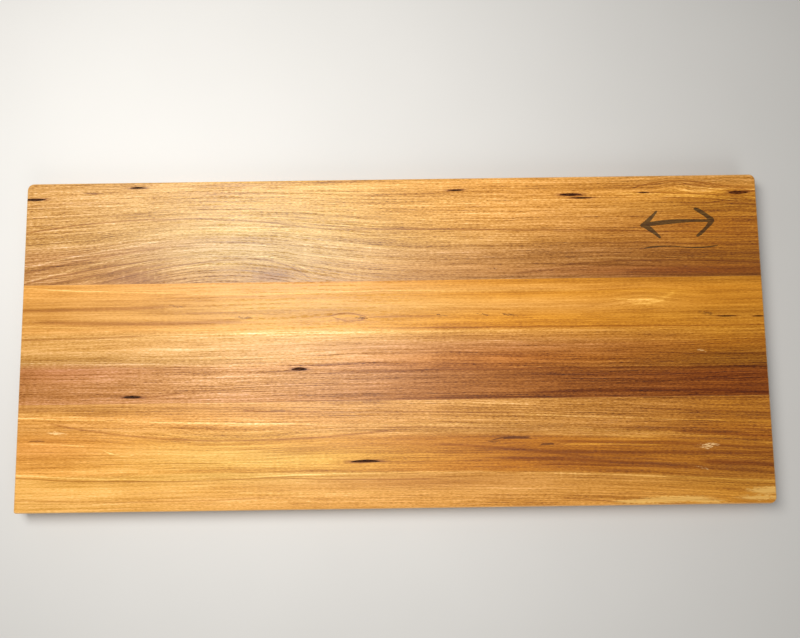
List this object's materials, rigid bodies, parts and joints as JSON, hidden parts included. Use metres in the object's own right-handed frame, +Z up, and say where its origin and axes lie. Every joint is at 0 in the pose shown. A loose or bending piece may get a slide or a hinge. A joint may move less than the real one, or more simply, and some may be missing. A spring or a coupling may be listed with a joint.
{
  "type": "transfer board",
  "caption": "Flat rectangular board of edge-glued hardwood planks that bridges two seats so that a person can slide across.",
  "frame": {"origin": "centre of the underside", "axes": "+X along the board's length, +Y across it towards the rear edge, +Z up out of the top face"},
  "size_m": [0.61, 0.27, 0.019],
  "materials": {
    "tan_wood": "satin oil",
    "orange_wood": "satin oil",
    "honey_wood": "satin oil",
    "dried_glue": "dried wood glue film",
    "beech": "pressed, unfinished"
  },
  "bodies": {
    "root": {"rear_plank": "tan_wood", "middle_plank": "orange_wood", "front_plank": "honey_wood", "rear_glue_line": "dried_glue", "front_glue_line": "dried_glue", "rear_biscuit_1": "beech", "rear_biscuit_2": "beech", "rear_biscuit_3": "beech", "rear_biscuit_4": "beech", "front_biscuit_1": "beech", "front_biscuit_2": "beech", "front_biscuit_3": "beech", "front_biscuit_4": "beech"}
  },
  "joints": []
}
